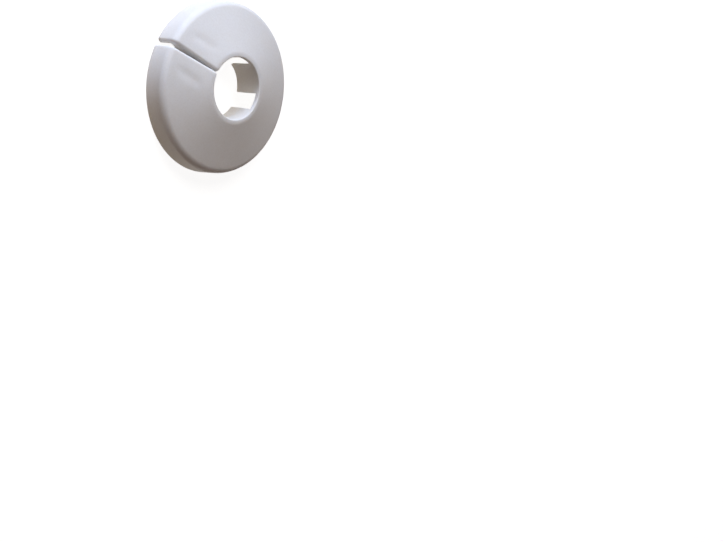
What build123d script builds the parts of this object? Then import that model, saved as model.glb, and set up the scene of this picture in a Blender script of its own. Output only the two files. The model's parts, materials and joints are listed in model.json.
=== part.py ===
"""Split escutcheon: a one-piece moulded collar that snaps round a heating pipe and covers its hole.

The ring stands on its back rim, with +Z out of the front face along the pipe and +X through the slit.
The hollow behind the face is drawn as the mould core that leaves it: the clip fingers, the webs along
the slit and the ribs beside them are pockets in that core. Lengths are millimetres, angles degrees.
"""

from build123d import *
from math import cos, radians, sin, sqrt, tan
import os

# Pipe
pipe_diameter = 15.0
grip_clearance = 0.05
grip_length = 4.0

# Shell
outer_diameter = 43.0
rim_height = 5.65
rim_draft = 1.8
face_slope = 18.1
wall = 1.35
corner_radius = 2.05
mouth_clearance = 0.25
lip_width = 0.95
lip_edge_bevel = 0.25
inner_corner_bevel = 0.7

# Slit, measured across at the bore and at the back edge of the rim
slit_gap_bore = 0.2
slit_gap_rim = 1.2
slit_edge_bevel = 0.45

# Clip fingers behind the bore
finger_count = 4
finger_spacing = 30.5
finger_turn = 4.6
finger_root_thickness = 1.0
finger_tip_thickness = 0.7
finger_setback = 2.05
finger_corner_radius = 0.5

# Webs along the slit and ribs beside them
web_thickness = 1.0
web_finger_clearance = 0.3
rib_thickness = 0.9
rib_web_clearance = 2.45
rib_inner_radius = 12.0
rib_shoulder = 1.5
rib_shoulder_height = 3.5

# How far a cutting shape runs past what it cuts
overrun = 1.0

# Sizes that follow from these
bore_radius = pipe_diameter / 2 + grip_clearance
back_radius = outer_diameter / 2
draft_tan = tan(radians(rim_draft))
slope_tan = tan(radians(face_slope))
rim_corner = back_radius - rim_height * draft_tan
rim_wall = wall / cos(radians(rim_draft))
face_wall = wall / cos(radians(face_slope))
finger_pitch = 360 / finger_count
finger_arc = finger_pitch - finger_spacing
finger_width = 2 * bore_radius * sin(radians(finger_arc / 2))
mouth_radius = bore_radius + mouth_clearance
lip_corner = mouth_radius + lip_width
grip_top = finger_setback + grip_length


def face_height(radius):
    """Height of the face's outer cone at a radius."""
    return rim_height + (rim_corner - radius) * slope_tan


def under_face(radius):
    """Height of the face's inner cone at a radius."""
    return face_height(radius) - face_wall


def inside_rim(height):
    """Radius of the rim's inner wall at a height."""
    return back_radius - height * draft_tan - rim_wall


def slit_half(distance):
    """Half of the slit's width at a distance from the axis."""
    share = (distance - bore_radius) / (back_radius - bore_radius)
    return (slit_gap_bore + (slit_gap_rim - slit_gap_bore) * share) / 2


sharp_height = face_height(bore_radius)
lip_height = face_height(lip_corner)
plug_foot = bore_radius - mouth_clearance * grip_top / (lip_height - grip_top)
inner_corner_height = under_face(back_radius - rim_wall) / (1 - slope_tan * draft_tan)
inner_corner = (inside_rim(inner_corner_height), inner_corner_height)
finger_root_radius = bore_radius + finger_root_thickness
finger_tip_radius = bore_radius + finger_tip_thickness
web_inner = finger_root_radius + web_finger_clearance
rib_offset = slit_gap_rim / 2 + web_thickness + rib_web_clearance + rib_thickness / 2
rib_inner = sqrt(rib_inner_radius**2 - rib_offset**2)


def rib_side(inner_end):
    """Side view of a rib that runs from inner_end through the rim wall, stepped up beside the rim."""
    shoulder_end = inside_rim(rib_shoulder_height) - rib_shoulder
    with BuildSketch(Plane.XZ) as side:
        with BuildLine():
            Polyline(
                (inner_end, lip_height),
                (inner_end, finger_setback),
                (shoulder_end - (rib_shoulder_height - finger_setback), finger_setback),
                (shoulder_end, rib_shoulder_height),
                (back_radius, rib_shoulder_height),
                (back_radius, lip_height),
                close=True,
            )
        make_face()
    return side.sketch


# Clip finger: a slice of a thin collar with parallel sides, thinner towards its rounded free end
with BuildPart() as finger:
    with BuildSketch(Plane.XZ):
        with BuildLine():
            Polyline(
                (bore_radius - overrun, finger_setback),
                (finger_tip_radius, finger_setback),
                (finger_root_radius, under_face(finger_root_radius)),
                (finger_root_radius, lip_height),
                (bore_radius - overrun, lip_height),
                close=True,
            )
        make_face()
    revolve(axis=Axis.Z, revolution_arc=finger_pitch)
    with BuildSketch():
        Rectangle(outer_diameter, finger_width, rotation=finger_pitch / 2)
    extrude(amount=lip_height, mode=Mode.INTERSECT)
    free_corners = finger.edges().group_by(Axis.Z)[0].filter_by(GeomType.LINE)
    fillet(free_corners, finger_corner_radius)

# Rib: a plate parallel to the slit
with BuildPart() as rib:
    extrude(rib_side(rib_inner), amount=rib_thickness / 2, both=True)

# Webs: one plate that follows the slit's taper, which the slit later parts in two
with BuildPart() as web:
    with BuildSketch():
        with BuildLine():
            Polyline(
                (web_inner, slit_half(web_inner) + web_thickness),
                (web_inner, -slit_half(web_inner) - web_thickness),
                (back_radius, -slit_half(back_radius) - web_thickness),
                (back_radius, slit_half(back_radius) + web_thickness),
                close=True,
            )
        make_face()
    extrude(amount=lip_height)
    extrude(rib_side(web_inner), amount=back_radius, both=True, mode=Mode.INTERSECT)

# Core: the hollow behind the face, with pockets where the fingers, the ribs and the webs are
with BuildPart() as core:
    with BuildSketch(Plane.XZ) as hollow:
        with BuildLine():
            Polyline(
                (0, -overrun),
                (inside_rim(-overrun), -overrun),
                inner_corner,
                (bore_radius - overrun, under_face(bore_radius - overrun)),
                (0, under_face(bore_radius - overrun)),
                close=True,
            )
        make_face()
        chamfer(hollow.vertices().sort_by_distance(inner_corner)[0], inner_corner_bevel)
    revolve(axis=Axis.Z)
    with PolarLocations(0, finger_count, start_angle=finger_turn):
        add(finger.part, mode=Mode.SUBTRACT)
    with Locations((0, rib_offset, 0), (0, -rib_offset, 0)):
        add(rib.part, mode=Mode.SUBTRACT)
    add(web.part, mode=Mode.SUBTRACT)

# Plug: levels the face's sharp tip to the lip's narrow flat and widens the bore towards it
with BuildPart() as plug:
    with BuildSketch(Plane.XZ) as plug_side:
        with BuildLine():
            Polyline(
                (0, 0),
                (plug_foot, 0),
                (mouth_radius, lip_height),
                (back_radius, lip_height),
                (back_radius, sharp_height + overrun),
                (0, sharp_height + overrun),
                close=True,
            )
        make_face()
        chamfer(plug_side.vertices().sort_by_distance((mouth_radius, lip_height))[0], lip_edge_bevel)
    revolve(axis=Axis.Z)

# Escutcheon: the turned outside, slit from rim to bore, with the plug and the core taken out
with BuildPart() as escutcheon:
    with BuildSketch(Plane.XZ) as section:
        with BuildLine():
            Polyline(
                (bore_radius, 0),
                (back_radius, 0),
                (rim_corner, rim_height),
                (bore_radius, sharp_height),
                close=True,
            )
        make_face()
        fillet(section.vertices().sort_by_distance((rim_corner, rim_height))[0], corner_radius)
    revolve(axis=Axis.Z)
    slit_start = bore_radius - overrun
    slit_end = back_radius + overrun
    with BuildSketch():
        with BuildLine():
            Polyline(
                (slit_start, slit_half(slit_start)),
                (slit_start, -slit_half(slit_start)),
                (slit_end, -slit_half(slit_end)),
                (slit_end, slit_half(slit_end)),
                close=True,
            )
        make_face()
    extrude(amount=sharp_height + overrun, mode=Mode.SUBTRACT)
    slit_walls = escutcheon.faces(Select.LAST)
    slit_edges = slit_walls.edges().filter_by(lambda edge: edge.center().Z > 0)
    chamfer(slit_edges, slit_edge_bevel)
    add(plug.part, mode=Mode.SUBTRACT)
    add(core.part, mode=Mode.SUBTRACT)

escutcheon.part.label = "escutcheon"
os.makedirs("parts", exist_ok=True)
export_step(escutcheon.part, "parts/escutcheon.step")
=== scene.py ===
"""Split escutcheon, dressed: a white moulded collar that snaps round a heating pipe and hides its hole.

The collar is one closed surface. Its section is a loop of points, and columns carry that loop round the
pipe's axis from one wall of the slit to the other. A column is a straight line in plan: beside the slit the
lines run along the webs and the ribs, and further round they turn to point away from the axis. Where a
finger, a web or a rib begins, two columns share one line, the first with the plain section and the second
with the fuller one, and the faces between them are the side wall. Sizes stay in millimetres and angles in
radians until a mesh is written in metres.
"""

import json
import logging
import math
from dataclasses import dataclass, field
from enum import Enum
from typing import Any

import bmesh
import bpy
import numpy as np
from mathutils import Matrix, Vector


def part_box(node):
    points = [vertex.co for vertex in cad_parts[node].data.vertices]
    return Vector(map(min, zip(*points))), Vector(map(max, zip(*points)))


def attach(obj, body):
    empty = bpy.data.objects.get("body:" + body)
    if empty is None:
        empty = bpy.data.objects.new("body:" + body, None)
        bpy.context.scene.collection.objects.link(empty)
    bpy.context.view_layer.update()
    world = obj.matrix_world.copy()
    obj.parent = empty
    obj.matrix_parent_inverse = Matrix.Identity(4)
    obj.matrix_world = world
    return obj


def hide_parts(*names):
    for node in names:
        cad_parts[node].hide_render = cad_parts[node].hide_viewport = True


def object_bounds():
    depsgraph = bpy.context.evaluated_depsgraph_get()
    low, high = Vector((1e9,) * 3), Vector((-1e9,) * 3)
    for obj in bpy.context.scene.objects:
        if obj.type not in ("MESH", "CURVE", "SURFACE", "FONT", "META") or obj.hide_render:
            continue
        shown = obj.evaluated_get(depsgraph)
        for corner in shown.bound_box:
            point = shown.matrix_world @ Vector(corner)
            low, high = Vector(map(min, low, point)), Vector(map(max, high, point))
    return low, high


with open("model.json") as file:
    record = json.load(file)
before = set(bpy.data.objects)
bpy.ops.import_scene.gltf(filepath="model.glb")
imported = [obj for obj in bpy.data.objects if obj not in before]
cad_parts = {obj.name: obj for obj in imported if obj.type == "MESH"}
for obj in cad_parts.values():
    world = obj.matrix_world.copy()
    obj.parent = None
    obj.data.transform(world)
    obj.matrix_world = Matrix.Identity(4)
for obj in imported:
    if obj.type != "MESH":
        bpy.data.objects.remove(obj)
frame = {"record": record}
CAD_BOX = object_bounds()

MM = 0.001
NODE = "escutcheon"
BODY = "root"
NOISE_MIDDLE = 0.5
Colour = tuple[float, float, float]
log = logging.getLogger(NODE)

COLUMN = np.dtype(
    [
        ("angle", float),  # polar angle at which the line crosses the bore
        ("offset", float),  # distance at which the line passes the axis
        ("clip", float),  # 1 where the clip keeps to the finger's direction, 0 where it follows the line
        ("finger_offset", float),  # distance at which the finger's own direction passes the axis
        ("slit_inset", float),  # depth to which the outside is rounded off into the slit
        ("finger", bool),
        ("finger_inset", float),
        ("finger_end", float),  # height of the finger's free end
        ("plate", bool),  # a web or a rib
        ("plate_inset", float),
        ("plate_start", float),  # radius at which a web or rib begins under the face
    ]
)


class Side(Enum):
    """The two sides of the slit, as the sign of Y."""

    UPPER = 1
    LOWER = -1


def shares(count: int) -> np.ndarray:
    """Evenly spaced shares of a run, from just past 0 to 1."""
    return np.linspace(0.0, 1.0, count + 1)[1:]


def steep_first(count: int) -> np.ndarray:
    """Shares from 0 to 1 that lie closest together at 0, where a round edge is steepest: 1 - cos t."""
    return 1.0 - np.cos(np.linspace(0.0, math.pi / 2, count))


def round_off(distance: np.ndarray, radius: float) -> np.ndarray:
    """Depth of a round edge below the surface it eases, by the distance from the wall that it turns into.

    Args:
        distance: distance from the wall.
        radius: radius of the edge.

    Returns:
        radius - sqrt(radius^2 - (radius - distance)^2) within the radius, and 0 beyond it.
    """
    reach = np.clip(radius - distance, 0.0, radius)
    return radius - np.sqrt(radius**2 - reach**2)


def radius_on_line(direction: Any, offset: Any, x: float) -> Any:
    """Radius of the point with this X on a line that passes the axis at an offset.

    Args:
        direction: the line's direction in plan.
        offset: distance at which the line passes the axis.
        x: X of the point.

    Returns:
        sqrt(offset^2 + along^2), where along = (x + offset * sin direction) / cos direction.
    """
    along = (x + offset * np.sin(direction)) / np.cos(direction)
    return np.hypot(offset, along)


def smooth(low: float, high: float, value: np.ndarray) -> np.ndarray:
    """The smooth step 3t^2 - 2t^3, where t goes from 0 at low to 1 at high."""
    t = np.clip((value - low) / (high - low), 0.0, 1.0)
    return t * t * (3.0 - 2.0 * t)


@dataclass(frozen=True)
class CollarSizes:
    """Sizes of the moulding. The first four come from the frame."""

    back_radius: float
    bore_radius: float
    finger_setback: float
    grip_top: float
    rim_height: float = 5.65
    rim_draft: float = math.radians(1.8)
    face_slope: float = math.radians(18.1)
    wall: float = 1.35
    corner_radius: float = 2.05
    mouth_clearance: float = 0.25
    lip_width: float = 0.95
    lip_roll_radius: float = 3.4
    lip_edge_radius: float = 0.2
    lip_least_radius: float = 0.05
    inner_corner_bevel: float = 0.7
    slit_gap_bore: float = 0.2
    slit_gap_rim: float = 1.2
    slit_edge_radius: float = 0.75
    edge_radius: float = 0.12
    finger_count: int = 4
    finger_spacing: float = math.radians(30.5)
    finger_turn: float = math.radians(4.6)
    finger_root_thickness: float = 1.0
    finger_tip_thickness: float = 0.7
    finger_corner_radius: float = 0.5
    web_thickness: float = 1.0
    web_finger_clearance: float = 0.3
    rib_thickness: float = 0.9
    rib_web_clearance: float = 2.45
    rib_inner_radius: float = 12.0
    rib_shoulder: float = 1.5
    rib_shoulder_height: float = 3.5
    sink_depth: float = 0.12
    sink_spread: float = 0.8
    sink_shift: float = 0.4
    sink_start: float = 10.5
    sink_end: float = 19.0
    sink_fade: float = 2.5

    @classmethod
    def from_frame(cls) -> "CollarSizes":
        """Reads the rim from the node's box and the bore and fingers from the pipe clamp's mount.

        Returns:
            The sizes, in millimetres and radians.
        """
        low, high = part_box(NODE)
        clamp = next(m for m in frame["record"]["mounts"] if m["kind"] == "clamp")
        grip_middle, grip_length = clamp["pos_m"][2] / MM, clamp["dims"]["length_mm"]
        return cls(
            back_radius=(high.y - low.y) / 2 / MM,
            bore_radius=clamp["dims"]["r_mm"],
            finger_setback=grip_middle - grip_length / 2,
            grip_top=grip_middle + grip_length / 2,
        )

    @property
    def draft_tan(self) -> float:
        """How far the rim leans in for each millimetre of height."""
        return math.tan(self.rim_draft)

    @property
    def slope_tan(self) -> float:
        """How far the face falls for each millimetre outwards."""
        return math.tan(self.face_slope)

    @property
    def rim_corner(self) -> float:
        """Radius at which the rim and the face would meet in a sharp corner."""
        return self.back_radius - self.rim_height * self.draft_tan

    @property
    def mouth_radius(self) -> float:
        """Radius of the bore where it would meet the lip's flat in a sharp edge."""
        return self.bore_radius + self.mouth_clearance

    @property
    def lip_corner(self) -> float:
        """Radius at which the face and the lip's flat would meet in a sharp corner."""
        return self.mouth_radius + self.lip_width

    @property
    def lip_height(self) -> float:
        """Height of the lip's flat."""
        return self.face_height(self.lip_corner)

    @property
    def inner_corner_height(self) -> float:
        """Height at which the face's inner cone and the rim's inner wall would meet in a sharp corner."""
        return self.under_face(self.inside_rim(0.0)) / (1 - self.slope_tan * self.draft_tan)

    @property
    def mouth_tan(self) -> float:
        """How far the bore widens for each millimetre above the fingers' grip."""
        return self.mouth_clearance / (self.lip_height - self.grip_top)

    @property
    def rib_offset(self) -> float:
        """Distance of a rib's middle from the slit's middle."""
        web_side = self.slit_gap_rim / 2 + self.web_thickness
        return web_side + self.rib_web_clearance + self.rib_thickness / 2

    @property
    def rib_near(self) -> float:
        """Distance of a rib's nearer face from the slit's middle."""
        return self.rib_offset - self.rib_thickness / 2

    @property
    def rib_far(self) -> float:
        """Distance of a rib's further face from the slit's middle."""
        return self.rib_offset + self.rib_thickness / 2

    @property
    def rib_inner(self) -> float:
        """X at which the ribs begin."""
        return math.sqrt(self.rib_inner_radius**2 - self.rib_offset**2)

    @property
    def finger_root(self) -> float:
        """Outer radius of a finger where it leaves the face."""
        return self.bore_radius + self.finger_root_thickness

    @property
    def finger_tip(self) -> float:
        """Outer radius of a finger at its free end."""
        return self.bore_radius + self.finger_tip_thickness

    @property
    def finger_width(self) -> float:
        """Distance between a finger's parallel sides."""
        return 2 * self.bore_radius * math.sin(math.pi / self.finger_count - self.finger_spacing / 2)

    @property
    def web_inner(self) -> float:
        """X at which the webs begin."""
        return self.finger_root + self.web_finger_clearance

    @property
    def shoulder_end(self) -> float:
        """X at which a web or rib reaches its shoulder."""
        return self.inside_rim(self.rib_shoulder_height) - self.rib_shoulder

    @property
    def shoulder_foot(self) -> float:
        """X at which a web or rib begins to step up to its shoulder."""
        return self.shoulder_end - (self.rib_shoulder_height - self.finger_setback)

    def face_height(self, radius: Any) -> Any:
        """Height of the face's outer cone at a radius."""
        return self.rim_height + (self.rim_corner - radius) * self.slope_tan

    def under_face(self, radius: Any) -> Any:
        """Height of the face's inner cone at a radius."""
        return self.face_height(radius) - self.wall / math.cos(self.face_slope)

    def inside_rim(self, height: Any) -> Any:
        """Radius of the rim's inner wall at a height."""
        return self.back_radius - height * self.draft_tan - self.wall / math.cos(self.rim_draft)


@dataclass(frozen=True)
class ColumnPlan:
    """Where the columns run in plan, from the slit's upper wall round to its lower wall."""

    sizes: CollarSizes
    step: float = math.radians(1.5)
    least_columns: int = 3
    edge_columns: int = 9
    thin_edge_columns: int = 5

    @property
    def slit_direction(self) -> float:
        """Angle between a slit wall and the slit's middle."""
        s = self.sizes
        return math.atan((s.slit_gap_rim - s.slit_gap_bore) / 2 / (s.back_radius - s.bore_radius))

    @property
    def slit_offset(self) -> float:
        """Distance at which a slit wall's plane passes the axis.

        Returns:
            The distance, square to the wall.
        """
        s = self.sizes
        at_axis = s.slit_gap_bore / 2 - s.bore_radius * math.tan(self.slit_direction)
        return at_axis * math.cos(self.slit_direction)

    @property
    def web_width(self) -> float:
        """Thickness of a web, square to the slit wall."""
        return self.sizes.web_thickness * math.cos(self.slit_direction)

    @property
    def web_face(self) -> float:
        """Distance at which the plane of a web's far face passes the axis."""
        return self.slit_offset + self.web_width

    def crossing(self, direction: float, offset: Any) -> Any:
        """Polar angle at which a line crosses the bore: direction + asin(offset / bore radius)."""
        return direction + np.arcsin(np.asarray(offset) / self.sizes.bore_radius)

    def knots(self) -> list[float]:
        """Angles at which the lines along the web's face and the rib's two faces cross the bore.

        Returns:
            The three angles, outwards from the slit.
        """
        return [
            self.crossing(self.slit_direction, self.web_face),
            self.crossing(0.0, self.sizes.rib_near),
            self.crossing(0.0, self.sizes.rib_far),
        ]

    def offset_at(self, angle: np.ndarray) -> np.ndarray:
        """Offset of the line that crosses the bore at an angle.

        It goes evenly from the web's face to the rib's faces, then falls with the square of the angle that is
        left to the far side, where lines pass through the axis.

        Args:
            angle: angles at which the lines cross the bore.

        Returns:
            The lines' distances from the axis.
        """
        s = self.sizes
        knots = self.knots()
        left = np.clip((math.pi - angle) / (math.pi - knots[2]), 0.0, 1.0)
        return np.where(
            angle <= knots[2],
            np.interp(angle, knots, [self.web_face, s.rib_near, s.rib_far]),
            s.rib_far * left**2,
        )

    def start_at(self, angle: np.ndarray) -> np.ndarray:
        """Radius on plain wall that lines up with where the web and the rib beside it begin.

        Args:
            angle: angles at which the lines cross the bore.

        Returns:
            The radii, evenly between those of the web's face and the rib's faces.
        """
        s = self.sizes
        starts = [
            radius_on_line(self.slit_direction, self.web_face, s.web_inner),
            radius_on_line(0.0, s.rib_near, s.rib_inner),
            radius_on_line(0.0, s.rib_far, s.rib_inner),
        ]
        return np.interp(angle, self.knots(), starts)

    def spread(self, low: float, high: float) -> np.ndarray:
        """Angles from low to high, both included, about one step apart."""
        return np.linspace(low, high, max(self.least_columns, math.ceil((high - low) / self.step) + 1))

    def plain(self, angle: np.ndarray) -> np.ndarray:
        """Columns on plain wall between the fingers.

        Args:
            angle: angles at which the columns cross the bore.

        Returns:
            The columns, with no finger, web or rib.
        """
        run = np.zeros(len(angle), COLUMN)
        run["angle"] = angle
        run["offset"] = self.offset_at(angle)
        run["clip"] = 1.0
        run["plate_start"] = self.start_at(angle)
        return run

    def web(self) -> np.ndarray:
        """Columns from the slit's wall across its rounded edge and the web behind it.

        Returns:
            The columns, outwards from the slit.
        """
        s = self.sizes
        edge = s.slit_edge_radius * steep_first(self.edge_columns)
        far_edge = s.edge_radius * steep_first(self.thin_edge_columns)[::-1]
        depth = np.concatenate([edge, self.web_width - far_edge])
        offset = self.slit_offset + depth
        run = self.plain(self.crossing(self.slit_direction, offset))
        run["offset"] = offset
        run["clip"] = 0.0
        run["slit_inset"] = round_off(depth, s.slit_edge_radius)
        run["plate"] = True
        run["plate_inset"] = round_off(np.minimum(depth, self.web_width - depth), s.edge_radius)
        run["plate_start"] = radius_on_line(self.slit_direction, offset, s.web_inner)
        return run

    def rib(self) -> np.ndarray:
        """Columns across a rib.

        Returns:
            The columns, from the rib's nearer face to its further one.
        """
        s = self.sizes
        edge = s.edge_radius * steep_first(self.thin_edge_columns)
        depth = np.concatenate([edge, s.rib_thickness - edge[::-1]])
        offset = s.rib_near + depth
        run = self.plain(self.crossing(0.0, offset))
        run["offset"] = offset
        run["plate"] = True
        run["plate_inset"] = round_off(np.minimum(depth, s.rib_thickness - depth), s.edge_radius)
        run["plate_start"] = radius_on_line(0.0, offset, s.rib_inner)
        return run

    def finger(self, start: float, end: float) -> np.ndarray:
        """Columns along a finger, with its rounded free corners and eased side edges.

        Args:
            start: angle of the side that is nearer to the slit.
            end: angle of the other side.

        Returns:
            The columns, with a rib among them where one stands behind the finger.
        """
        s = self.sizes
        half_width = s.finger_width / 2
        edge_offset = half_width - s.finger_corner_radius * steep_first(self.edge_columns)
        edge = (end - start) / 2 - np.arcsin(edge_offset / s.bore_radius)
        corner = edge[-1]
        near, far = self.crossing(0.0, s.rib_near), self.crossing(0.0, s.rib_far)
        if start < near < end:
            runs = [
                self.plain(np.concatenate([start + edge, self.spread(start + corner, near)[1:]])),
                self.rib(),
                self.plain(np.concatenate([self.spread(far, end - corner), end - edge[::-1][1:]])),
            ]
            run = np.concatenate(runs)
        else:
            middle = self.spread(start + corner, end - corner)[1:-1]
            run = self.plain(np.concatenate([start + edge, middle, end - edge[::-1]]))
        offset = s.bore_radius * np.sin(run["angle"] - (start + end) / 2)
        distance = np.clip(half_width - np.abs(offset), 0.0, None)
        run["finger"] = True
        run["finger_offset"] = offset
        run["finger_inset"] = round_off(distance, s.edge_radius)
        run["finger_end"] = s.finger_setback + round_off(distance, s.finger_corner_radius)
        return run

    def gap(self, low: float, high: float, finger_start: float) -> np.ndarray:
        """Columns on the plain wall between two fingers.

        They turn evenly from one finger's direction to the next one's.

        Args:
            low: angle of the first column.
            high: angle of the last column.
            finger_start: angle at which the next finger begins.

        Returns:
            The columns, both ends included.
        """
        s = self.sizes
        run = self.plain(self.spread(low, high))
        left = (finger_start - run["angle"]) / s.finger_spacing
        run["finger_offset"] = s.finger_width * (left - 0.5)
        return run

    def half(self, side: Side) -> np.ndarray:
        """Columns on one side of the slit, from its wall to the far side of the ring.

        Args:
            side: the side of the slit.

        Returns:
            The columns, counted as if the side were the upper one.
        """
        s = self.sizes
        pitch = 2 * math.pi / s.finger_count
        first = side.value * s.finger_turn + s.finger_spacing / 2
        run = [self.web()]
        gap_start = run[0]["angle"][-1]
        for start in (first, first + pitch):
            end = start + pitch - s.finger_spacing
            run.append(self.gap(gap_start, start, start))
            run.append(self.finger(start, end))
            gap_start = end
        run.append(self.gap(gap_start, math.pi, gap_start + s.finger_spacing))
        run[1]["clip"] = smooth(run[1]["angle"][0], run[1]["angle"][-1], run[1]["angle"])
        return np.concatenate(run)

    def build(self) -> np.ndarray:
        """Puts the columns of both sides in order round the ring.

        Returns:
            All columns, from the upper slit wall to the lower one.
        """
        lower = self.half(Side.LOWER)[::-1][1:]
        lower["angle"] *= Side.LOWER.value
        lower["offset"] *= Side.LOWER.value
        lower["finger_offset"] *= Side.LOWER.value
        return np.concatenate([self.half(Side.UPPER), lower])


@dataclass(frozen=True)
class LoopSteps:
    """How many parts each stretch of the section loop has."""

    edge: int = 4
    rim: int = 8
    corner: int = 14
    face: int = 44
    lip_roll: int = 10
    lip_edge: int = 12
    mouth: int = 4
    above_grip: int = 3
    grip: int = 5
    finger_end: int = 2
    finger_back: int = 12
    cone: int = 8
    plate_start: int = 8
    plate_foot: int = 12
    plate_rise: int = 4
    plate_shoulder: int = 4
    rim_inside: int = 6


@dataclass
class SectionLoop:
    """The collar's section as a closed loop of points, worked out for every column at once."""

    sizes: CollarSizes
    columns: np.ndarray
    steps: LoopSteps = LoopSteps()
    plate_ease: float = 1 / 4  # share of a plate's end over which its side edge is eased
    finger_ease: float = 1 / 3  # share of a finger's inner face over which its side edge is eased
    cone_end: float = 0.12  # share of the cone's points that a plate's start or rise needs
    stretches: list[tuple[np.ndarray, np.ndarray, np.ndarray]] = field(default_factory=list)

    def column(self, name: str) -> np.ndarray:
        """A field of the columns, standing upright so that it combines with a row of shares."""
        return self.columns[name][:, None]

    def add(self, radius: np.ndarray, height: np.ndarray, turn: Any = 0.0) -> None:
        """Adds a stretch of the loop.

        Args:
            radius: radii, one row per column.
            height: heights, one row per column.
            turn: 1 where the points keep to the finger's direction, 0 where they follow the column's line.
        """
        shape = (len(self.columns), np.shape(radius + height)[1])
        self.stretches.append(tuple(np.broadcast_to(part, shape) for part in (radius, height, turn)))

    def last(self) -> tuple[np.ndarray, np.ndarray]:
        """Radius and height of the loop's last point in each column."""
        radius, height, _ = self.stretches[-1]
        return radius[:, -1:], height[:, -1:]

    def joined(self, *parts: np.ndarray) -> np.ndarray:
        """Parts of a stretch side by side, each with one row per column."""
        rows = len(self.columns)
        return np.concatenate([np.broadcast_to(part, (rows, part.shape[-1])) for part in parts], axis=1)

    def line_to(self, radius: Any, height: Any, count: int) -> None:
        """Adds a straight stretch from the last point.

        Args:
            radius: radius of its end.
            height: height of its end.
            count: how many equal parts it has.
        """
        t = shares(count)
        from_radius, from_height = self.last()
        self.add(from_radius + (radius - from_radius) * t, from_height + (height - from_height) * t)

    def arc(self, radius: Any, height: Any, bend: Any, start: float, end: Any, t: np.ndarray) -> None:
        """Adds a stretch of a circle.

        Args:
            radius: radius at which the circle's centre lies.
            height: height at which the circle's centre lies.
            bend: radius of the circle itself.
            start: angle at which the stretch starts.
            end: angle at which it ends.
            t: shares of the way from start to end.
        """
        angle = start + (end - start) * t
        self.add(radius + bend * np.cos(angle), height + bend * np.sin(angle))

    def outside(self) -> None:
        """Rim, corner, face and lip, all set in by the slit's rounding: each arc keeps its centre."""
        s, steps = self.sizes, self.steps
        inset = self.column("slit_inset")
        lean, normal = s.rim_draft, math.pi / 2 - s.face_slope
        edge = s.edge_radius
        rim_reach = s.back_radius * math.cos(lean)
        face_reach = (s.rim_height + s.rim_corner * s.slope_tan) * math.cos(s.face_slope)
        foot = (rim_reach - inset - edge * (1 + math.sin(lean))) / math.cos(lean)
        self.arc(foot, edge, edge, -math.pi / 2, lean, np.linspace(0.0, 1.0, steps.edge + 1))
        normals = [[math.cos(lean), math.sin(lean)], [math.cos(normal), math.sin(normal)]]
        reaches = [rim_reach - s.corner_radius, face_reach - s.corner_radius]
        corner_r, corner_z = np.linalg.solve(normals, reaches)
        bend = s.corner_radius - inset
        self.line_to(corner_r + bend * math.cos(lean), corner_z + bend * math.sin(lean), steps.rim)
        self.arc(corner_r, corner_z, bend, lean, normal, shares(steps.corner))
        roll = s.lip_roll_radius
        roll_r, roll_z = s.lip_corner - roll * math.tan(s.face_slope / 2), s.lip_height - roll
        bend = roll - inset
        self.line_to(roll_r + bend * math.cos(normal), roll_z + bend * math.sin(normal), steps.face)
        self.arc(roll_r, roll_z, bend, normal, math.pi / 2, shares(steps.lip_roll))
        widening = math.atan(s.mouth_tan)
        edge_r = s.mouth_radius + s.lip_edge_radius * (1 / math.cos(widening) - s.mouth_tan)
        bend = np.maximum(s.lip_edge_radius - inset, s.lip_least_radius)
        edge_z = s.lip_height - inset - bend
        self.line_to(edge_r, edge_z + bend, 1)
        self.arc(edge_r, edge_z, bend, math.pi / 2, math.pi - widening, shares(steps.lip_edge))

    def bore(self) -> None:
        """The finger's inner face, free end and outer face, or the plain edge of the bore between fingers.

        Both start down the mouth's wall. Between fingers that wall turns into the face's inner cone by a
        quadratic curve whose middle point is the sharp edge, and the points that only a finger needs lie
        together at its end.
        """
        s, steps = self.sizes, self.steps
        edge = s.edge_radius
        finger = self.column("finger")
        inset, end = self.column("finger_inset"), self.column("finger_end")
        floor = end + inset
        from_r, from_z = self.last()
        both_tan = s.mouth_tan * s.slope_tan
        sharp_z = (s.under_face(from_r) + from_z * both_tan) / (1 + both_tan)
        sharp_r = from_r - (from_z - sharp_z) * s.mouth_tan
        mouth_z = from_z + (sharp_z + edge - from_z) * shares(steps.mouth)
        mouth_r = from_r - (from_z - mouth_z) * s.mouth_tan
        low_r, low_z = mouth_r[:, -1:], mouth_z[:, -1:]
        down_z = self.joined(
            low_z + (s.grip_top - low_z) * shares(steps.above_grip),
            s.grip_top + (floor + edge - s.grip_top) * shares(steps.grip),
        )
        t = shares(down_z.shape[1])
        widened = np.maximum(down_z - s.grip_top, 0.0) * s.mouth_tan
        down_r = s.bore_radius + widened + inset * np.minimum(1.0, t / self.finger_ease)
        turn = math.pi / 2 * shares(steps.edge)
        across = shares(steps.finger_end)
        tip = s.finger_tip - inset
        root_z = s.under_face(s.finger_root)
        up = shares(steps.finger_back)
        finger_r = self.joined(
            mouth_r,
            down_r,
            s.bore_radius + inset + edge * (1 - np.cos(turn)),
            s.bore_radius + inset + edge + (tip - s.bore_radius - inset - 2 * edge) * across,
            tip - edge * (1 - np.sin(turn)),
            tip + (s.finger_root - tip) * up,
        )
        finger_z = self.joined(
            mouth_z,
            down_z,
            floor + edge * (1 - np.sin(turn)),
            floor + 0 * across,
            floor + edge * (1 - np.cos(turn)),
            floor + edge + (root_z - floor - edge) * up,
        )
        turned_r = sharp_r + edge * math.cos(s.face_slope)
        turned_z = s.under_face(turned_r)
        together = np.zeros(2 * len(turn) + len(across))
        back_r = turned_r + (s.finger_root - turned_r) * up
        open_r = self.joined(
            mouth_r,
            (1 - t) ** 2 * low_r + 2 * t * (1 - t) * sharp_r + t**2 * turned_r,
            turned_r + together,
            back_r,
        )
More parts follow.
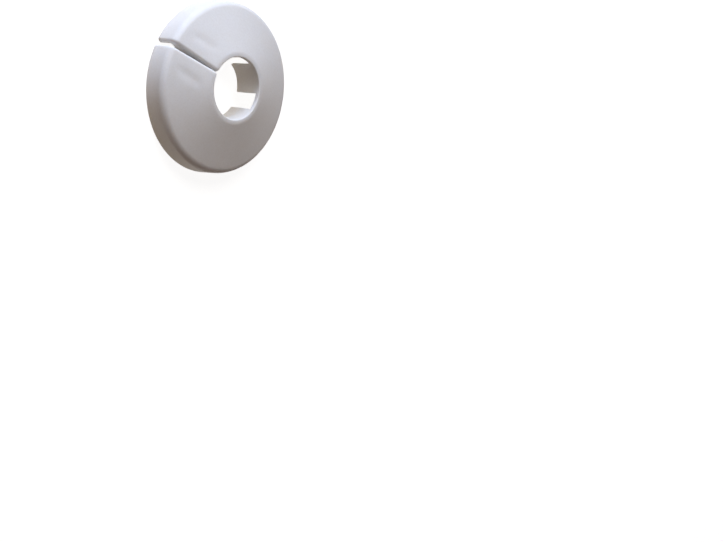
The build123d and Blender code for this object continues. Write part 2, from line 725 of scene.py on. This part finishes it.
        open_z = self.joined(
            mouth_z,
            (1 - t) ** 2 * low_z + 2 * t * (1 - t) * sharp_z + t**2 * turned_z,
            turned_z + together,
            s.under_face(back_r),
        )
        self.add(np.where(finger, finger_r, open_r), np.where(finger, finger_z, open_z), 1.0)

    def inside(self) -> None:
        """The face's inner cone and the rim's inner wall, or the outline of a web or rib on them.

        The cone and the wall have as many points as the plate's start, foot, rise and shoulder, shared out so
        that each lies near its partner.
        """
        s, steps = self.sizes, self.steps
        start, inset = self.column("plate_start"), self.column("plate_inset")
        reach = shares(steps.cone)
        cone_r = s.finger_root + (start - s.finger_root) * reach
        self.add(cone_r, s.under_face(cone_r), 1.0 - reach)
        angle, offset = self.column("angle"), self.column("offset")
        direction = angle - np.arcsin(offset / s.bore_radius)
        bevel_r = s.inside_rim(s.inner_corner_height) - s.inner_corner_bevel * math.cos(s.face_slope)
        bevel_z = s.inner_corner_height - s.inner_corner_bevel * math.cos(s.rim_draft)
        down, across = shares(steps.plate_start), shares(steps.plate_foot)
        rise, shoulder = shares(steps.plate_rise), shares(steps.plate_shoulder)
        end_share = self.cone_end
        cone = [end_share * down, end_share + (1 - 2 * end_share) * across, 1 - end_share + end_share * rise]
        cone_r = start + (bevel_r - start) * np.concatenate(cone)
        wall_z = bevel_z + (s.rib_shoulder_height - bevel_z) * np.linspace(0.0, 1.0, steps.plate_shoulder)
        plain_r = self.joined(cone_r, s.inside_rim(wall_z))
        plain_z = self.joined(s.under_face(cone_r), wall_z)
        top = s.under_face(start)
        bottom = s.finger_setback + inset
        foot, end = (radius_on_line(direction, offset, x) for x in (s.shoulder_foot, s.shoulder_end))
        shoulder_z = s.rib_shoulder_height + inset
        rim_r = s.inside_rim(s.rib_shoulder_height)
        face_r = start + inset
        plate_r = self.joined(
            start + inset * np.minimum(1.0, down / self.plate_ease),
            face_r + (foot - face_r) * across,
            foot + (end - foot) * rise,
            end + (rim_r - end) * shoulder,
        )
        plate_z = self.joined(
            top + (bottom - top) * down,
            bottom + 0 * across,
            bottom + (shoulder_z - bottom) * rise,
            shoulder_z - inset * np.maximum(0.0, 1 - (1 - shoulder) / self.plate_ease),
        )
        plate = self.column("plate")
        self.add(np.where(plate, plate_r, plain_r), np.where(plate, plate_z, plain_z))
        edge = s.edge_radius
        self.line_to(s.inside_rim(edge), edge, steps.rim_inside)
        heel = self.last()[0] + edge
        self.arc(heel, edge, edge, math.pi, 1.5 * math.pi, shares(steps.edge))
        first_radius, first_height, _ = self.stretches[0]
        self.line_to((self.last()[0] + first_radius[:, :1]) / 2, first_height[:, :1], 1)

    def points(self) -> np.ndarray:
        """The whole loop in every column.

        A point at radius r stands at the polar angle angle + asin(offset / r) - asin(offset / bore radius),
        which keeps it on the column's line. On the clip the offset is the finger's, so that its sides are
        parallel. A sink mark, a shallow bell-shaped furrow, runs along the face above each rib.

        Returns:
            Points in millimetres, one row per column.
        """
        s = self.sizes
        self.outside()
        face_start = sum(radius.shape[1] for radius, _, _ in self.stretches[:3])
        face_end = face_start + self.steps.face
        self.bore()
        self.inside()
        radius, height, turn = (np.concatenate(parts, axis=1) for parts in zip(*self.stretches))
        angle, offset = self.column("angle"), self.column("offset")
        clip = turn * self.column("clip")
        leans = [
            np.arcsin(np.clip(away / radius, -1, 1)) - np.arcsin(away / s.bore_radius)
            for away in (offset, self.column("finger_offset"))
        ]
        polar = angle + leans[0] * (1 - clip) + leans[1] * clip
        x, y = radius * np.cos(polar), radius * np.sin(polar)
        from_mark = (np.abs(y) - s.rib_offset - s.sink_shift) / s.sink_spread
        begun = smooth(s.sink_start, s.sink_start + s.sink_fade, radius)
        ended = smooth(s.sink_end - s.sink_fade, s.sink_end, radius)
        depth = s.sink_depth * np.exp(-(from_mark**2) / 2) * begun * (1 - ended) * (x > 0)
        depth[:, :face_start] = 0.0
        depth[:, face_end:] = 0.0
        radius = radius - depth * math.sin(s.face_slope)
        height = height - depth * math.cos(s.face_slope)
        return np.stack([radius * np.cos(polar), radius * np.sin(polar), height], axis=-1)


class Signal:
    """A shader socket. Arithmetic on it adds Math nodes to its tree, and node() adds any other node."""

    def __init__(self, tree: bpy.types.NodeTree, socket: bpy.types.NodeSocket) -> None:
        """Wraps a socket of a tree."""
        self.tree = tree
        self.socket = socket

    @classmethod
    def node(
        cls,
        tree: bpy.types.NodeTree,
        kind: str,
        settings: dict[str, Any],
        inputs: dict[Any, Any],
        output: Any = 0,
    ) -> "Signal":
        """Adds any node to a tree.

        Args:
            tree: the node tree.
            kind: the node's type.
            settings: its properties, set before its sockets.
            inputs: a number, a colour or a Signal for each named or numbered socket.
            output: the name or number of the socket to return.

        Returns:
            The chosen output.
        """
        made = tree.nodes.new(kind)
        for name, value in settings.items():
            setattr(made, name, value)
        for name, value in inputs.items():
            if isinstance(value, cls):
                tree.links.new(value.socket, made.inputs[name])
            else:
                made.inputs[name].default_value = value
        return cls(tree, made.outputs[output])

    def finish(self, kind: str) -> None:
        """Links a shader to a new output node of its tree."""
        self.tree.links.new(self.socket, self.tree.nodes.new(kind).inputs["Surface"])

    def math(self, operation: str, first: Any, second: Any) -> "Signal":
        """Adds a Math node on two values and returns its result."""
        return self.node(self.tree, "ShaderNodeMath", {"operation": operation}, {0: first, 1: second})

    def __add__(self, other: Any) -> "Signal":
        """Sum."""
        return self.math("ADD", self, other)

    __radd__ = __add__

    def __sub__(self, other: Any) -> "Signal":
        """Difference."""
        return self.math("SUBTRACT", self, other)

    def __rsub__(self, other: Any) -> "Signal":
        """Difference from a number."""
        return self.math("SUBTRACT", other, self)

    def __mul__(self, other: Any) -> "Signal":
        """Product."""
        return self.math("MULTIPLY", self, other)

    __rmul__ = __mul__


def opaque(colour: Colour) -> tuple[float, float, float, float]:
    """A colour with full alpha, as sockets take it."""
    return (*colour, 1.0)


def bare_material(name: str) -> bpy.types.Material:
    """Makes a material whose node tree is empty.

    Args:
        name: the material's name.

    Returns:
        The material.
    """
    made = bpy.data.materials.new(name)
    made.use_nodes = True
    made.node_tree.nodes.clear()
    return made


@dataclass(frozen=True)
class Noise:
    """A procedural noise, named by the size of what it draws."""

    size_mm: float
    detail: float
    fineness: float = 0.5
    swirl: float = 0.0

    def signal(self, place: Signal) -> Signal:
        """The noise at each place, from 0 to 1.

        Args:
            place: Object coordinates.

        Returns:
            The noise's value.
        """
        inputs = {
            "Vector": place,
            "Scale": 1 / (self.size_mm * MM),
            "Detail": self.detail,
            "Roughness": self.fineness,
            "Distortion": self.swirl,
        }
        return Signal.node(place.tree, "ShaderNodeTexNoise", {}, inputs)


@dataclass(frozen=True)
class SatinPlastic:
    """White moulded plastic with a fine grain, a mottled tint and slow changes from the melt's flow."""

    name: str = "white_satin_plastic"
    colour: Colour = (0.80, 0.80, 0.80)
    flow_colour: Colour = (0.775, 0.77, 0.765)
    refraction: float = 1.49
    glow_through: float = 0.35
    glow_depth_mm: float = 1.0
    glow_spread: Colour = (1.0, 0.9, 0.8)
    roughness: float = 0.56
    gloss_change: float = 0.10
    mottle: Noise = Noise(0.45, 1.0)
    mottle_depth: float = 2.8
    grain: Noise = Noise(0.16, 2.0, fineness=0.55)
    grain_depth_mm: float = 0.004
    grain_strength: float = 0.25
    flow: Noise = Noise(3.5, 3.0, swirl=0.6)

    def material(self) -> bpy.types.Material:
        """Builds the material on Object coordinates.

        The tint goes from colour to flow_colour by flow + mottle_depth * (mottle - 1/2). The roughness is its
        middle value plus gloss_change * (flow - 1/2) and the same share of the grain.

        Returns:
            The material.
        """
        made = bare_material(self.name)
        tree = made.node_tree
        place = Signal.node(tree, "ShaderNodeTexCoord", {}, {}, "Object")
        grain, flow, mottle = (noise.signal(place) for noise in (self.grain, self.flow, self.mottle))
        tint = Signal.node(
            tree,
            "ShaderNodeMix",
            {"data_type": "RGBA", "clamp_factor": False},
            {
                "Factor": flow + (mottle - NOISE_MIDDLE) * self.mottle_depth,
                "A": opaque(self.colour),
                "B": opaque(self.flow_colour),
            },
            "Result",
        )
        bump = Signal.node(
            tree,
            "ShaderNodeBump",
            {},
            {"Height": grain, "Strength": self.grain_strength, "Distance": self.grain_depth_mm * MM},
        )
        flow_gloss = (flow - NOISE_MIDDLE) * self.gloss_change
        grain_gloss = (grain - NOISE_MIDDLE) * self.gloss_change
        shader = Signal.node(
            tree,
            "ShaderNodeBsdfPrincipled",
            {},
            {
                "Base Color": tint,
                "Roughness": self.roughness + flow_gloss + grain_gloss,
                "Normal": bump,
                "IOR": self.refraction,
                "Subsurface Weight": self.glow_through,
                "Subsurface Radius": self.glow_spread,
                "Subsurface Scale": self.glow_depth_mm * MM,
            },
        )
        shader.finish("ShaderNodeOutputMaterial")
        return made


def wrapped_quads(rows: int, around: int) -> np.ndarray:
    """Faces between the rows of a grid whose rows each close on themselves.

    Args:
        rows: how many rows the grid has.
        around: how many points each row has.

    Returns:
        Four point numbers for each face.
    """
    index = np.arange(rows * around).reshape(rows, around)
    following = np.roll(index, -1, axis=1)
    return np.stack([index[:-1], following[:-1], following[1:], index[1:]], axis=-1).reshape(-1, 4)


@dataclass
class Escutcheon:
    """The collar itself: one moulded piece that stands for the CAD node of its name."""

    sizes: CollarSizes
    finish: SatinPlastic
    merge_mm: float = 0.0003
    crease: float = math.radians(32.0)

    def build(self) -> bpy.types.Object:
        """Makes the collar's mesh: a grid of columns by section points, with a flat cap on each slit wall.

        Returns:
            The collar.
        """
        columns = ColumnPlan(self.sizes).build()
        grid = SectionLoop(self.sizes, columns).points() * MM
        count, around = grid.shape[:2]
        mesh = bpy.data.meshes.new(NODE)
        mesh.from_pydata(grid.reshape(-1, 3), [], wrapped_quads(count, around))
        self.close(mesh)
        piece = bpy.data.objects.new("moulded_collar", mesh)
        bpy.context.scene.collection.objects.link(piece)
        weigh = piece.modifiers.new("even_normals", "WEIGHTED_NORMAL")
        weigh.keep_sharp = True
        log.info("collar: %d columns of %d points, %d faces", count, around, len(mesh.polygons))
        return piece

    def close(self, mesh: bpy.types.Mesh) -> None:
        """Merges the points that lie together, caps the slit's walls and turns the faces outwards.

        Args:
            mesh: the collar's mesh, which is changed.
        """
        work = bmesh.new()
        work.from_mesh(mesh)
        bmesh.ops.remove_doubles(work, verts=work.verts, dist=self.merge_mm * MM)
        open_edges = [edge for edge in work.edges if edge.is_boundary]
        caps = bmesh.ops.holes_fill(work, edges=open_edges, sides=0)["faces"]
        bmesh.ops.triangulate(work, faces=caps)
        bmesh.ops.recalc_face_normals(work, faces=work.faces)
        for face in work.faces:
            face.smooth = True
        work.to_mesh(mesh)
        work.free()
        mesh.set_sharp_from_angle(angle=self.crease)

    def dress(self, piece: bpy.types.Object) -> None:
        """Gives the collar its finish and its place in the frame.

        Args:
            piece: the collar.
        """
        piece.data.materials.append(self.finish.material())
        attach(piece, BODY)
        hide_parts(NODE)


@dataclass(frozen=True)
class PhotoCamera:
    """A camera that sees the collar from where the photograph was taken.

    The collar's axis is tilted from the line of sight and points to the picture's right, a little downwards.
    The slit's turn is counted about that axis, from the picture's right. The focal length and the centre of
    the collar's back are in pixels of the picture, the depth and the clipping distances in metres.
    """

    axis_tilt: float = math.radians(47.61)
    axis_drop: float = math.radians(7.99)
    slit_turn: float = math.radians(152.3)
    picture: tuple[int, int] = (723, 542)
    focal_pixels: float = 2881.8
    back_centre: tuple[float, float] = (209.48, 86.11)
    depth: float = 0.71667
    sensor_mm: float = 36.0
    clipping: tuple[float, float] = (0.05, 20.0)

    def axes(self) -> np.ndarray:
        """Works out how the collar's frame stands in the picture.

        Returns:
            Rows that turn a point of that frame to picture right, picture down and away.
        """
        away = [math.cos(self.axis_drop), math.sin(self.axis_drop)]
        axis = np.array([*(math.sin(self.axis_tilt) * np.array(away)), -math.cos(self.axis_tilt)])
        right = np.cross(axis, (0.0, 1.0, 0.0))
        right /= np.linalg.norm(right)
        level = np.stack([right, np.cross(axis, right), axis], axis=1)
        turn = np.array(Matrix.Rotation(self.slit_turn, 3, "Z"))
        return level @ turn

    def from_picture(self, direction: tuple[float, float, float]) -> Vector:
        """Turns a direction given along the face's picture right, picture up and outwards into the frame."""
        return Matrix.Rotation(-self.slit_turn, 3, "Z") @ Vector(direction).normalized()

    def build(self) -> bpy.types.Object:
        """Makes the camera and the scene's view settings.

        Returns:
            The camera.
        """
        axes = self.axes()
        middle = np.array(self.picture) / 2
        across = (np.array(self.back_centre) - middle) / self.focal_pixels * self.depth
        place = -axes.T @ np.array([*across, self.depth])
        lens = bpy.data.cameras.new("photo_camera")
        lens.sensor_width = self.sensor_mm
        lens.lens = self.focal_pixels / self.picture[0] * self.sensor_mm
        lens.clip_start, lens.clip_end = self.clipping
        camera = bpy.data.objects.new("photo_camera", lens)
        turn = Matrix(np.stack([axes[0], -axes[1], -axes[2]], axis=1).tolist()).to_4x4()
        camera.matrix_world = Matrix.Translation(place.tolist()) @ turn
        bpy.context.scene.collection.objects.link(camera)
        bpy.context.scene.camera = camera
        bpy.context.scene.view_settings.view_transform = "Standard"
        return camera


@dataclass(frozen=True)
class SoftLamp:
    """A round soft lamp that faces the collar.

    Its direction is given along the face's picture right, picture up and outwards, its size in metres.
    """

    name: str
    direction: tuple[float, float, float]
    watts: float
    size: float
    distance: float
    colour: Colour

    def build(self, camera: PhotoCamera) -> bpy.types.Object:
        """Hangs the lamp.

        Args:
            camera: the camera whose picture the direction is given in.

        Returns:
            The lamp.
        """
        light = bpy.data.lights.new(self.name, "AREA")
        light.shape = "DISK"
        light.size = self.size
        light.energy = self.watts
        light.color = self.colour
        toward = camera.from_picture(self.direction)
        lamp = bpy.data.objects.new(self.name, light)
        middle = (CAD_BOX[0] + CAD_BOX[1]) / 2
        turn = toward.to_track_quat("Z", "Y").to_matrix().to_4x4()
        lamp.matrix_world = Matrix.Translation(middle + toward * self.distance) @ turn
        bpy.context.scene.collection.objects.link(lamp)
        return lamp


WHITE = (1.0, 1.0, 1.0)
SKYLIGHT = (0.807, 1.0, 1.395)
LAMPS = (
    SoftLamp("key_lamp", (-0.20, 0.70, 0.68), watts=2.385, size=0.40, distance=0.60, colour=WHITE),
    SoftLamp("low_lamp", (-0.22, 0.95, 0.17), watts=2.235, size=0.30, distance=0.60, colour=SKYLIGHT),
)


@dataclass(frozen=True)
class Studio:
    """A pale floor and a dim even surround."""

    floor_radius: float = 3.0
    floor_rings: int = 12
    floor_spokes: int = 64
    floor_glow: float = 0.92
    floor_seen: Colour = (0.30, 0.30, 0.30)
    floor_bounce: Colour = (0.42, 0.37, 0.33)
    # painted glow: light that the floor gives off towards the collar, the near colour under and beside it and
    # the far colour further out, though the floor is no lamp
    far_painted_glow: Colour = (0.016, 0.014, 0.010)
    near_painted_glow: Colour = (0.222, 0.185, 0.133)
    near_reach: float = 1.9
    surround: Colour = (0.060, 0.025, 0.010)

    def seen(self, tree: bpy.types.NodeTree) -> Signal:
        """1 for rays that show the background, straight or in a reflection, and 0 for rays that carry light.

        Args:
            tree: the node tree that asks.

        Returns:
            The sum of the three kinds of ray.
        """
        straight, mirrored, through = (
            Signal.node(tree, "ShaderNodeLightPath", {}, {}, kind)
            for kind in ("Is Camera Ray", "Is Glossy Ray", "Is Transmission Ray")
        )
        return straight + mirrored + through

    def floor(self) -> bpy.types.Object:
        """Lays the floor: a disc of rings by spokes, at the height of the collar's back.

        Returns:
            The floor.
        """
        rings, spokes = self.floor_rings, self.floor_spokes
        ring = self.floor_radius * shares(rings)[:, None]
        spoke = np.linspace(0.0, 2 * math.pi, spokes, endpoint=False)
        height = np.full((rings, spokes), CAD_BOX[0].z)
        grid = np.stack([ring * np.cos(spoke), ring * np.sin(spoke), height], axis=-1)
        facing_up = wrapped_quads(rings, spokes)[:, ::-1].tolist()
        mesh = bpy.data.meshes.new("floor")
        mesh.from_pydata(grid.reshape(-1, 3), [], [*facing_up, list(range(spokes))])
        laid = bpy.data.objects.new("floor", mesh)
        bpy.context.scene.collection.objects.link(laid)
        laid.data.materials.append(self.floor_paint())
        return laid

    def floor_paint(self) -> bpy.types.Material:
        """White where it is seen, with the collar's shadow on it, and pale paint for the light it returns.

        For the rays that light the collar the floor also has a painted glow, light that it gives off though
        it is no lamp, strongest under the collar and close beside it: it goes from the near colour to the far
        colour by a smooth step of the distance from the axis.

        Returns:
            The floor's material.
        """
        made = bare_material("pale_floor")
        tree = made.node_tree
        glow = Signal.node(tree, "ShaderNodeEmission", {}, {"Strength": self.floor_glow})
        shade = Signal.node(tree, "ShaderNodeBsdfDiffuse", {}, {"Color": opaque(self.floor_seen)})
        seen = Signal.node(tree, "ShaderNodeAddShader", {}, {0: glow, 1: shade})
        matt = Signal.node(tree, "ShaderNodeBsdfDiffuse", {}, {"Color": opaque(self.floor_bounce)})
        place = Signal.node(tree, "ShaderNodeTexCoord", {}, {}, "Object")
        reach = Signal.node(tree, "ShaderNodeVectorMath", {"operation": "LENGTH"}, {0: place}, "Value")
        rim = (CAD_BOX[1].y - CAD_BOX[0].y) / 2
        away = Signal.node(
            tree,
            "ShaderNodeMapRange",
            {"interpolation_type": "SMOOTHSTEP"},
            {"Value": reach, "From Min": rim, "From Max": rim * self.near_reach},
        )
        colour = Signal.node(
            tree,
            "ShaderNodeMix",
            {"data_type": "RGBA"},
            {"Factor": away, "A": opaque(self.near_painted_glow), "B": opaque(self.far_painted_glow)},
            "Result",
        )
        # painted glow: an emission on the floor that lights the collar, strongest close to it
        light = Signal.node(tree, "ShaderNodeEmission", {}, {"Color": colour})
        paint = Signal.node(tree, "ShaderNodeAddShader", {}, {0: matt, 1: light})
        mixed = Signal.node(tree, "ShaderNodeMixShader", {}, {0: self.seen(tree), 1: paint, 2: seen})
        mixed.finish("ShaderNodeOutputMaterial")
        return made

    def surroundings(self) -> bpy.types.World:
        """Makes a dim even surround that is white where it is seen.

        Returns:
            The world.
        """
        world = bpy.data.worlds.new("studio")
        world.use_nodes = True
        tree = world.node_tree
        tree.nodes.clear()
        dim = Signal.node(tree, "ShaderNodeBackground", {}, {"Color": opaque(self.surround)})
        white = Signal.node(tree, "ShaderNodeBackground", {}, {"Color": opaque(WHITE)})
        mixed = Signal.node(tree, "ShaderNodeMixShader", {}, {0: self.seen(tree), 1: dim, 2: white})
        mixed.finish("ShaderNodeOutputWorld")
        bpy.context.scene.world = world
        return world


def main() -> None:
    """Builds the collar, then the camera, the floor and the light."""
    logging.basicConfig(level=logging.INFO, format="%(name)s: %(message)s")
    collar = Escutcheon(CollarSizes.from_frame(), SatinPlastic())
    piece = collar.build()
    collar.dress(piece)
    log.info("%s replaces %s", piece.name, NODE)
    camera = PhotoCamera()
    log.info("camera: %s", camera.build().name)
    studio = Studio()
    lamps = [lamp.build(camera) for lamp in LAMPS]
    for made in (studio.floor(), studio.surroundings(), *lamps):
        log.info("studio: %s", made.name)


if __name__ == "__main__":
    main()
